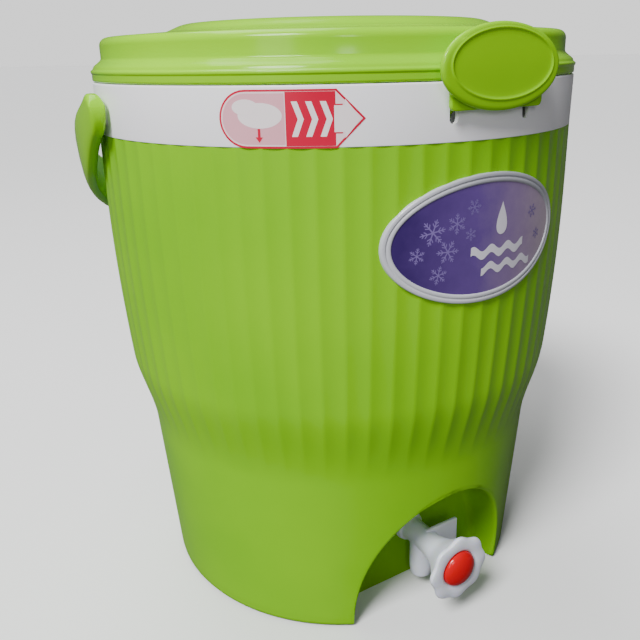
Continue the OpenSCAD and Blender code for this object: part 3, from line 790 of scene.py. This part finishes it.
def make_latch():
    a = (plate_hi.x - plate_lo.x) / 2
    b = (plate_hi.z - plate_lo.z) / 2
    z0 = (plate_hi.z + plate_lo.z) / 2
    profile = [(2.4, 0.0), (0.8, 0.1), (0.15, 0.5), (0, 1.1), (0.12, 1.7), (0.45, 2.2), (1.1, 2.55),
               (2.0, 2.72), (3.4, 2.8), (4.0, 2.84), (4.35, 2.95), (4.65, 3.2), (4.95, 3.28), (5.25, 3.2),
               (5.55, 2.95), (5.95, 2.78), (6.6, 2.7), (8.5, 2.72), (11, 2.8), (14, 2.88)]
    plate = oval_dome("clasp_plate", a, b, [(i * MM, o * MM) for i, o in profile], plate_hi.y, z0, 1.2 * MM)
    shade(plate, 60)
    finish_piece(plate, GREEN_LID, "latch", "green_plastic", "latch_plate")

    # slab behind the plate, hook over the lid's bead, and two arms that reach in to the pin
    w, inner = 27.4 * MM, BAND_R + 0.5 * MM
    low, high = 295.3 * MM, 319 * MM
    parts = [prism("slab", soften([(-w, low), (w, low), (w, high), (-w, high)], 3 * MM, n=6),
                   inner, inner + 2.3 * MM, 0.5 * MM)]
    parts.append(box_shape("hook", (-18 * MM, -inner - 1 * MM, FLANGE_Z + 1.8 * MM),
                           (18 * MM, -134.6 * MM, FLANGE_Z + 4.4 * MM), 0.5 * MM))
    run, rise = inner + 1 * MM - LATCH_Y, 8.6 * MM
    for side in (-1, 1):
        x0 = side * SLOT_X - ARM_W / 2
        place = Matrix.Translation((x0, -LATCH_Y, LATCH_Z))
        eye = lathe("eye", soften([(0, 0, 0), (3 * MM, 0), (3 * MM, ARM_W), (0, ARM_W, 0)], 0.3 * MM),
                    40, closed=False)
        eye.data.transform(place @ Matrix.Rotation(math.pi / 2, 4, "Y"))
        arm = box_shape("arm", (0, -1.8 * MM, 0), (ARM_W, 1.8 * MM, math.hypot(run, rise)), 0.3 * MM)
        arm.data.transform(place @ Matrix.Rotation(math.atan2(run, rise), 4, "X"))
        parts += [eye, arm]
    finish_piece(join("clasp_bracket", parts), GREEN_LID, "latch", "green_plastic", "latch_bracket")


make_latch()


# ------------------------------------------------------------------ label and sticker
STICKER_TURN = math.radians(-39.3)  # round the jug from its front, to the left
STICKER_Z = 293.6 * MM
LABEL_A = 55 * MM
LABEL_B = (label_hi.z - label_lo.z) / 2
LABEL_Z = (label_hi.z + label_lo.z) / 2


def on_wall_front(surface_r, x, z, lift, turn=0.0):
    """Point on a round wall that lies straight behind the flat point (x, z), seen from the front."""
    r = surface_r(z) + lift
    p = Vector((x, -math.sqrt(max(0.0, r * r - x * x)), z))
    return Matrix.Rotation(turn, 3, "Z") @ p


def decal(name, outlines, surface_r, lift, material, slot, centre_z, turn=0.0, replaced=None):
    """Thin printed shape laid on a wall. outlines lists flat outlines as (across, up) from its centre."""
    bm = bmesh.new()
    for outline in outlines:
        loop = [bm.verts.new((x, 0, z + centre_z)) for x, z in outline]
        bm.faces.new(loop)
    # cut into a grid of small cells, which can follow the wall
    cell, offset = 2.2 * MM, 0.37     # the offset keeps the cuts off the outlines' own points
    for axis in (0, 2):
        reach = [v.co[axis] for v in bm.verts]
        normal = (1, 0, 0) if axis == 0 else (0, 0, 1)
        for k in range(math.ceil(min(reach) / cell), math.ceil(max(reach) / cell)):
            place = Vector(normal) * (k + offset) * cell
            bmesh.ops.bisect_plane(bm, geom=bm.verts[:] + bm.edges[:] + bm.faces[:], dist=1e-7,
                                   plane_co=place, plane_no=normal)
    bmesh.ops.triangulate(bm, faces=bm.faces)
    for v in bm.verts:
        v.co = on_wall_front(surface_r, v.co.x, v.co.z, lift, turn)
    for f in bm.faces:
        f.normal_update()
        middle = f.calc_center_median()
        if f.normal.dot(Vector((middle.x, middle.y, 0))) < 0:
            f.normal_flip()
    mesh = bpy.data.meshes.new(name)
    bm.to_mesh(mesh)
    bm.free()
    obj = link_object(name, mesh)
    shade(obj, 60)
    finish_piece(obj, material, "jug", slot, *([replaced] if replaced else []))


def in_mm(points):
    return [(x * MM, z * MM) for x, z in points]


def oval_outline(a, b, n=120, cx=0.0, cz=0.0):
    return [(cx + a * math.cos(2 * math.pi * k / n), cz + b * math.sin(2 * math.pi * k / n))
            for k in range(n)]


def snowflake(cx, cz, size, turn=0.0):
    """Six branched arms, each a thin outline."""
    out = []
    for k in range(6):
        a = turn + k * math.pi / 3
        c, s = math.cos(a), math.sin(a)

        def place(u, v):
            return (cx + u * c - v * s, cz + u * s + v * c)
        w = size * 0.055
        out.append([place(0, -w), place(size, -w * 0.7), place(size * 1.04, 0),
                    place(size, w * 0.7), place(0, w)])
        for side in (-1, 1):
            for at, reach in ((0.42, 0.34), (0.7, 0.24)):
                p0, p1 = at * size, (at + reach * 0.7) * size
                q = reach * size * 0.72 * side
                strip = [(p0 - w, 0), (p0 + w, 0), (p1 + w, q), (p1 - w, q)]
                out.append([place(u, v) for u, v in (strip if side > 0 else strip[::-1])])
    return out


def make_label():
    seg, field_inset = 160, 4.6 * MM
    # the rim's section, as (inset, lift) in millimetres
    rim = [(0, -0.9), (0, 0.5), (0.15, 0.9), (0.5, 1.1), (1.6, 1.15), (1.9, 1.05), (2.1, 0.8), (2.5, 0.75),
           (2.8, 1.0), (3.1, 1.1), (3.9, 1.05), (4.3, 0.9), (4.7, 0.55), (4.8, 0.2), (4.8, -0.9)]
    verts = []
    for inset, lift in rim:
        for x, z in oval_outline(LABEL_A - inset * MM, LABEL_B - inset * MM, seg):
            verts.append(on_wall_front(body_r, x, z + LABEL_Z, lift * MM))
    obj = mesh_object("label_rim", verts, ring_faces(len(rim), seg, closed=True))
    shade(obj, 60)
    finish_piece(obj, SILVER, "jug", "silver_print", "label_frame")

    def on_label(name, outlines, lift, material, replaced=None):
        decal(name, outlines, body_r, lift * MM, material, "label_print", LABEL_Z, replaced=replaced)

    on_label("label_field", [oval_outline(LABEL_A - field_inset, LABEL_B - field_inset)], 0.5, PURPLE,
             "label_film")
    flakes = []
    for cx, cz, size, turn in ((-31, 6.5, 6.4, 0.2), (-18.5, 9.5, 5.0, 0.5), (-23, -3.5, 5.8, 0.0),
                               (-38.5, -4, 4.0, 0.4), (-9, 16.5, 4.0, 0.1), (-27.5, -14.5, 4.6, 0.3),
                               (-10.5, 3.5, 3.2, 0.6), (33, 9, 3.6, 0.2), (38.5, -3.5, 3.0, 0.5)):
        flakes += snowflake(cx * MM, cz * MM, size * MM, turn)
    on_label("label_snowflakes", flakes, 0.56, LILAC)
    # a plain water drop over two waves stands where the print had words
    drop = []
    for k in range(48):
        a = 2 * math.pi * k / 48
        drop.append(((9 + 5.2 * math.sin(a) * math.sin(a / 2) ** 1.5) * MM,
                     (9.2 + 8.2 * math.cos(a)) * MM))
    on_label("label_drop", [drop], 0.6, PALE)
    waves = []
    for z0, half, left in ((-6.5, 2.1, -10), (-15, 1.9, -3)):
        for k in range(60):
            x0, x1 = left + 36 * k / 60, left + 36 * (k + 1) / 60
            y0, y1 = 1.5 * math.sin(x0 * 0.55), 1.5 * math.sin(x1 * 0.55)
            waves.append([(x0 * MM, (z0 + y0 - half) * MM), (x1 * MM, (z0 + y1 - half) * MM),
                          (x1 * MM, (z0 + y1 + half) * MM), (x0 * MM, (z0 + y0 + half) * MM)])
    on_label("label_waves", waves, 0.6, PALE)


def sticker_outline(inset):
    """Round at the left, pointed at the right, drawn in by inset millimetres."""
    left, right, tip, half = -32.3, 20.1, 32.3, 12.4
    h, x = half - inset, right - inset * 0.45
    pts = [(left + half + h * math.cos(math.radians(a)), h * math.sin(math.radians(a)))
           for a in range(90, 271, 10)]
    pts += [(x, -h), (x + h * (tip - right) / half, 0), (x, h)]
    return in_mm(pts)


def make_sticker():
    def lay(name, outlines, lift, material, replaced=None):
        decal(name, outlines, band_r, lift * MM, material, "sticker_print", STICKER_Z, STICKER_TURN,
              replaced)

    lay("sticker_card", [sticker_outline(0)], 0.12, STICKER_RED, "pull_sticker")
    lay("sticker_white", [sticker_outline(0.9)], 0.16, STICKER_PINK)
    left = in_mm([(-2.4, 10.8)]) + [p for p in sticker_outline(1.6) if p[0] < -2 * MM]
    lay("sticker_left", [left + in_mm([(-2.4, -10.8)])], 0.19, STICKER_BLUSH)
    block = [(-2, -11.4), (19.6, -11.4), (19.6, -6.2), (22.6, -6.2), (22.6, 6.2), (19.6, 6.2),
             (19.6, 11.4), (-2, 11.4)]
    lay("sticker_block", [in_mm(block)], 0.2, STICKER_RED)
    head = [(19, -5.6), (23.6, -5.6), (23.6, -8.2), (30.4, 0), (23.6, 8.2), (23.6, 5.6), (19, 5.6)]
    lay("sticker_head", [in_mm(head)], 0.23, STICKER_WHITE)
    chevrons = [in_mm([(x, -7.4), (x + 2.6, -7.4), (x + 5.4, 0), (x + 2.6, 7.4), (x, 7.4), (x + 2.8, 0)])
                for x in (0.6, 6.8, 13.0)]
    lay("sticker_chevrons", chevrons, 0.24, STICKER_WHITE)
    lay("sticker_cloud", [oval_outline(10 * MM, 5.4 * MM, 40, -13.5 * MM, 1.5 * MM)], 0.22, STICKER_WHITE)
    lay("sticker_cloud_small", [oval_outline(6 * MM, 3.4 * MM, 40, -20 * MM, 5 * MM)], 0.25, STICKER_WHITE)
    arrow = [(-14.6, -4), (-13.4, -4), (-13.4, -7.6), (-12.3, -7.6), (-14, -10), (-15.7, -7.6),
             (-14.6, -7.6)]
    lay("sticker_arrow", [in_mm(arrow)], 0.25, STICKER_RED)


make_label()
make_sticker()


# ------------------------------------------------------------------ tap
BONNET_U = 127                     # millimetres out along the tap, from the jug's axis
FACE_U = 130                       # the grip flange's outer face
SPOUT_Y = -94.5 * MM


def make_tap():
    # the shank, flange, neck and flared head; u runs outwards along the tap
    u0 = 81.5 * MM
    outline = soften([
        (0, 52 * MM, 0), (7.4 * MM, 52 * MM), (7.4 * MM, u0, 0), (9.2 * MM, u0, 0.5 * MM),
        (9.2 * MM, u0 + 2 * MM, 0.8 * MM), (7.2 * MM, u0 + 3 * MM, 1 * MM), (7.2 * MM, 106 * MM, 8 * MM),
        (10.2 * MM, 115.5 * MM, 5 * MM), (16.2 * MM, 123.6 * MM, 3 * MM), (18.2 * MM, BONNET_U * MM, 0),
        (0, BONNET_U * MM, 0)], 1 * MM, closed=False, n=8)
    body = put_on_tap_axis(lathe("tap_core", outline, 96, closed=False))
    tip = 10.4 * MM
    spout = lathe("spout", soften([
        (4.8 * MM, tip, 0.4 * MM), (6.5 * MM, tip, 1.2 * MM), (7.3 * MM, tip + 5 * MM, 4 * MM),
        (7.3 * MM, TAP_Z, 2 * MM), (6.4 * MM, TAP_Z + 4 * MM, 2 * MM), (0, TAP_Z + 4.2 * MM, 0)],
        1 * MM, closed=False, n=6) + [(0, TAP_Z - 2 * MM), (4.8 * MM, TAP_Z - 2 * MM)], 64)
    spout.data.transform(Matrix.Translation((0, SPOUT_Y, 0)))
    wing = box_shape("wing", (-1 * MM, -101 * MM, 22 * MM), (23 * MM, -98.4 * MM, 44 * MM), 0.7 * MM)
    finish_piece(join("tap_housing", [body, spout, wing]), TAP_WHITE, "jug", "tap_plastic", "tap_body")

    # lobed grip with rounded rims and a hole for the button
    lobes, base, wave = 8, 19.6 * MM, 0.8 * MM
    # (r, u) in millimetres; r is a radius where it is over 5, and otherwise counts from the lobed edge
    rim = [(11.3, BONNET_U), (-1, BONNET_U), (-0.35, BONNET_U + 0.3), (0, BONNET_U + 0.9),
           (0, FACE_U - 1.1), (-0.35, FACE_U - 0.35), (-1.1, FACE_U), (13.0, FACE_U),
           (12.2, FACE_U - 0.3), (11.3, FACE_U - 1)]
    seg = 240
    verts = []
    for r, u in rim:
        for k in range(seg):
            t = 2 * math.pi * k / seg
            rr = r * MM if r > 5 else base + wave * math.cos(lobes * t) + r * MM
            verts.append((rr * math.cos(t), rr * math.sin(t), u * MM))
    bonnet = put_on_tap_axis(mesh_object("tap_grip", verts, ring_faces(len(rim), seg, closed=True)))
    finish_piece(bonnet, TAP_WHITE, "jug", "tap_plastic", "tap_bonnet")

    dome = [(11.0 * math.cos(math.radians(a)), FACE_U - 0.8 + 4.9 * math.sin(math.radians(a)))
            for a in range(0, 91, 9)]
    outline = [(max(0.0, r) * MM, u * MM) for r, u in [(0, 124), (10.6, 124), (11.0, 124.6)] + dome]
    button = put_on_tap_axis(lathe("tap_push_button", outline, 96, closed=False))
    finish_piece(button, RED, "button", "red_plastic", "tap_button")

    # the return spring, a coil round the tap's axis
    turns, wire, coil_r, ring = 7, 0.45 * MM, 3.9 * MM, 12
    start, end = 107.71 * MM, 123.29 * MM
    steps = 36 * turns
    verts = []
    for i in range(steps + 1):
        t = 2 * math.pi * turns * i / steps
        u = start + (end - start) * i / steps
        for j in range(ring):
            b = 2 * math.pi * j / ring
            r = coil_r + wire * math.cos(b)
            verts.append((r * math.cos(t), r * math.sin(t), u + wire * math.sin(b)))
    faces = ring_faces(steps + 1, ring) + end_caps(steps + 1, ring)
    spring = put_on_tap_axis(mesh_object("tap_coil_spring", verts, faces))
    finish_piece(spring, STEEL, "jug", "pin_steel", "tap_spring")
    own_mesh(spring)


make_tap()

# ------------------------------------------------------------------ carried CAD nodes
CARRIED = {
    "body_foam": FOAM, "lid_foam": FOAM, "inner_liner": WHITE, "lid_liner": WHITE,
    "handle_pivot_pins": WHITE, "lid_gasket": SILICONE, "tap_outer_gasket": SILICONE,
    "tap_inner_gasket": SILICONE, "lid_hinge_pin": STEEL, "latch_pin": STEEL,
    "tap_stem": TAP_WHITE, "tap_lock_nut": TAP_WHITE, "tap_valve_seal": RUBBER}
for name, material in CARRIED.items():
    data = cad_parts[name].data
    data.materials.clear()
    data.materials.append(material)


# ------------------------------------------------------------------ stage, lights and camera
def seen_apart(tree, unseen, seen, output):
    """Shows one shader to the camera and lights the scene with the other. For the stage only."""
    path = tree.nodes.new("ShaderNodeLightPath")
    mix = tree.nodes.new("ShaderNodeMixShader")
    tree.links.new(path.outputs["Is Camera Ray"], mix.inputs["Fac"])
    tree.links.new(unseen, mix.inputs[1])
    tree.links.new(seen, mix.inputs[2])
    tree.links.new(mix.outputs["Shader"], tree.nodes[output].inputs["Surface"])


def make_stage():
    """Pale floor, which throws little light back up, so that the jug keeps its shaded side."""
    half = 60
    floor = mesh_object("floor", [(-half, -half, 0), (half, -half, 0), (half, half, 0), (-half, half, 0)],
                        [(0, 1, 2, 3)])
    mat, tree, shader = new_material("pale_floor")
    shader.inputs["Base Color"].default_value = rgb(240, 240, 240)
    shader.inputs["Roughness"].default_value = 0.75
    grey = node(tree, "ShaderNodeBsdfDiffuse", Color=(0.1, 0.1, 0.1, 1))
    seen_apart(tree, grey.outputs["BSDF"], shader.outputs["BSDF"], "Material Output")
    floor.data.materials.append(mat)


def add_light(name, kind, power, direction):
    """Light that shines along direction."""
    data = bpy.data.lights.new(name, kind)
    data.energy = power
    light = link_object(name, data)
    light.rotation_euler = Vector(direction).to_track_quat("-Z", "Y").to_euler()
    return light


def area_light(name, place, target, size, power, height=None):
    light = add_light(name, "AREA", power, Vector(target) - Vector(place))
    light.location = place
    light.data.shape = "RECTANGLE" if height else "SQUARE"
    light.data.size = size
    if height:
        light.data.size_y = height


def sun_light(name, direction, strength, spread):
    """Soft distant light, spread degrees across."""
    add_light(name, "SUN", strength, direction).data.angle = math.radians(spread)


def make_world():
    """Dim soft light all round, with a pale plain backdrop."""
    world = bpy.data.worlds.new("studio")
    bpy.context.scene.world = world
    world.use_nodes = True
    tree = world.node_tree
    dim = tree.nodes["Background"]
    dim.inputs["Color"].default_value = (0.92, 0.95, 1.0, 1)
    dim.inputs["Strength"].default_value = 0.1
    pale = node(tree, "ShaderNodeBackground", Color=(1, 1, 1, 1), Strength=1.25)
    seen_apart(tree, dim.outputs["Background"], pale.outputs["Background"], "World Output")


def make_camera():
    """Stands at the photograph's viewing angle, to the left of the jug's front and a little above."""
    azimuth, tilt, roll = math.radians(-31.5), math.radians(90 - 18.39), math.radians(-1.08)
    away, height = 448 * MM, 318.9 * MM
    data = bpy.data.cameras.new("camera")
    data.lens = 39.77
    data.sensor_width = 36
    data.shift_x = -0.0270
    data.shift_y = -0.0449
    data.clip_start = 0.01
    cam = link_object("camera", data)
    cam.matrix_world = (Matrix.Translation((away * math.sin(azimuth), -away * math.cos(azimuth), height))
                        @ Matrix.Rotation(azimuth, 4, "Z") @ Matrix.Rotation(tilt, 4, "X")
                        @ Matrix.Rotation(roll, 4, "Z"))
    bpy.context.scene.camera = cam


make_stage()
make_world()
make_camera()
sun_light("sun", (0.590, 0.285, -0.756), 4.8, 20)
sun_light("back_fill", (-0.10, -0.56, -0.82), 0.8, 30)
area_light("ceiling", (-0.25, 0.25, 1.5), (0, 0, 0.3), 0.7, 9)
area_light("left_window", (-1.5, -1.0, 0.75), (0, 0, 0.2), 0.5, 6, height=0.9)
area_light("front_panel", (-0.75, -1.6, 0.95), (0, 0, 0.25), 0.22, 4.5, height=0.5)
